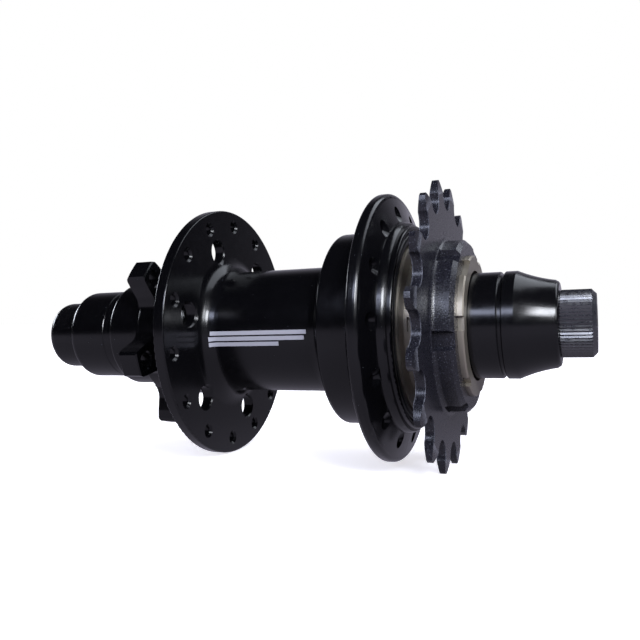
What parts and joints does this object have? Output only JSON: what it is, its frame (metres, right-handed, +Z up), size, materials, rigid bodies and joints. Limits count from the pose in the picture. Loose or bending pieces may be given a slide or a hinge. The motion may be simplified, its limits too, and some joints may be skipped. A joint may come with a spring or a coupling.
{
  "type": "rear bicycle hub assembly",
  "caption": "Rear bicycle hub with a disc rotor mount, a freewheeling splined driver and a single cog, on a hollow axle with a through bolt.",
  "frame": {"origin": "on the axle's axis, midway between the two faces that the frame clamps", "axes": "+X along the axle towards the drive side, +Z up"},
  "size_m": [0.1535, 0.0704, 0.0704],
  "materials": {
    "black_anodised": "gloss black anodised",
    "cog_steel": "satin dark grey",
    "black_oxide_steel": "black oxide, satin",
    "black_nut": "black anodised",
    "driver_alloy": "champagne grey satin",
    "black_rubber": "matte",
    "hard_steel": "ground",
    "spring_steel": "polished",
    "bearing_steel": "ground and polished",
    "bearing_ball": "mirror polished",
    "cage_polymer": "matte",
    "raw_aluminium": "turned"
  },
  "bodies": {
    "axle": {"axle_tube": "raw_aluminium", "left_end_cap": "black_anodised", "right_end_cap": "black_anodised", "left_adapter": "black_anodised", "right_adapter": "black_anodised", "through_bolt": "black_oxide_steel", "round_nut": "black_nut", "inner_spacer": "raw_aluminium", "driver_spacer": "raw_aluminium", "left_inner_race": "bearing_steel", "centre_inner_race": "bearing_steel", "inboard_inner_race": "bearing_steel", "outboard_inner_race": "bearing_steel"},
    "shell": {"hub_shell": "black_anodised", "ratchet_ring": "hard_steel", "shell_lip_seal": "black_rubber", "left_outer_race": "bearing_steel", "left_bearing_seals": "black_rubber", "centre_outer_race": "bearing_steel", "centre_bearing_seals": "black_rubber"},
    "driver": {"driver_body": "driver_alloy", "cog": "cog_steel", "pawl_springs": "spring_steel", "inboard_outer_race": "bearing_steel", "inboard_bearing_seals": "black_rubber", "outboard_outer_race": "bearing_steel", "outboard_bearing_seals": "black_rubber"},
    "left_balls": {"left_bearing_balls": "bearing_ball", "left_bearing_cage": "cage_polymer"},
    "centre_balls": {"centre_bearing_balls": "bearing_ball", "centre_bearing_cage": "cage_polymer"},
    "inboard_balls": {"inboard_bearing_balls": "bearing_ball", "inboard_bearing_cage": "cage_polymer"},
    "outboard_balls": {"outboard_bearing_balls": "bearing_ball", "outboard_bearing_cage": "cage_polymer"},
    "pawl_1": {"pawl_1": "hard_steel"},
    "pawl_2": {"pawl_2": "hard_steel"},
    "pawl_3": {"pawl_3": "hard_steel"}
  },
  "joints": [
    {"name": "shell_spin", "type": "hinge", "parent": "axle", "child": "shell", "pos_m": [0, 0, 0], "axis": [1, 0, 0], "continuous": true},
    {"name": "driver_spin", "type": "hinge", "parent": "axle", "child": "driver", "pos_m": [0.03, 0, 0], "axis": [1, 0, 0], "continuous": true},
    {"name": "left_balls_orbit", "type": "hinge", "parent": "axle", "child": "left_balls", "pos_m": [0, 0, 0], "axis": [1, 0, 0], "continuous": true},
    {"name": "centre_balls_orbit", "type": "hinge", "parent": "axle", "child": "centre_balls", "pos_m": [0, 0, 0], "axis": [1, 0, 0], "continuous": true},
    {"name": "inboard_balls_orbit", "type": "hinge", "parent": "axle", "child": "inboard_balls", "pos_m": [0, 0, 0], "axis": [1, 0, 0], "continuous": true},
    {"name": "outboard_balls_orbit", "type": "hinge", "parent": "axle", "child": "outboard_balls", "pos_m": [0, 0, 0], "axis": [1, 0, 0], "continuous": true},
    {"name": "pawl_1_swing", "type": "hinge", "parent": "driver", "child": "pawl_1", "pos_m": [0.0223, 0, 0.0154], "axis": [1, 0, 0], "range_deg": [0, 12]},
    {"name": "pawl_2_swing", "type": "hinge", "parent": "driver", "child": "pawl_2", "pos_m": [0.0223, -0.01334, -0.0077], "axis": [1, 0, 0], "range_deg": [0, 12]},
    {"name": "pawl_3_swing", "type": "hinge", "parent": "driver", "child": "pawl_3", "pos_m": [0.0223, 0.01334, -0.0077], "axis": [1, 0, 0], "range_deg": [0, 12]}
  ],
  "couplings": [
    {"joint": "left_balls_orbit", "follows": "shell_spin", "ratio": 0.56667},
    {"joint": "centre_balls_orbit", "follows": "shell_spin", "ratio": 0.5814},
    {"joint": "inboard_balls_orbit", "follows": "driver_spin", "ratio": 0.56667},
    {"joint": "outboard_balls_orbit", "follows": "driver_spin", "ratio": 0.56667},
    {"joint": "pawl_2_swing", "follows": "pawl_1_swing", "ratio": 1},
    {"joint": "pawl_3_swing", "follows": "pawl_1_swing", "ratio": 1}
  ]
}
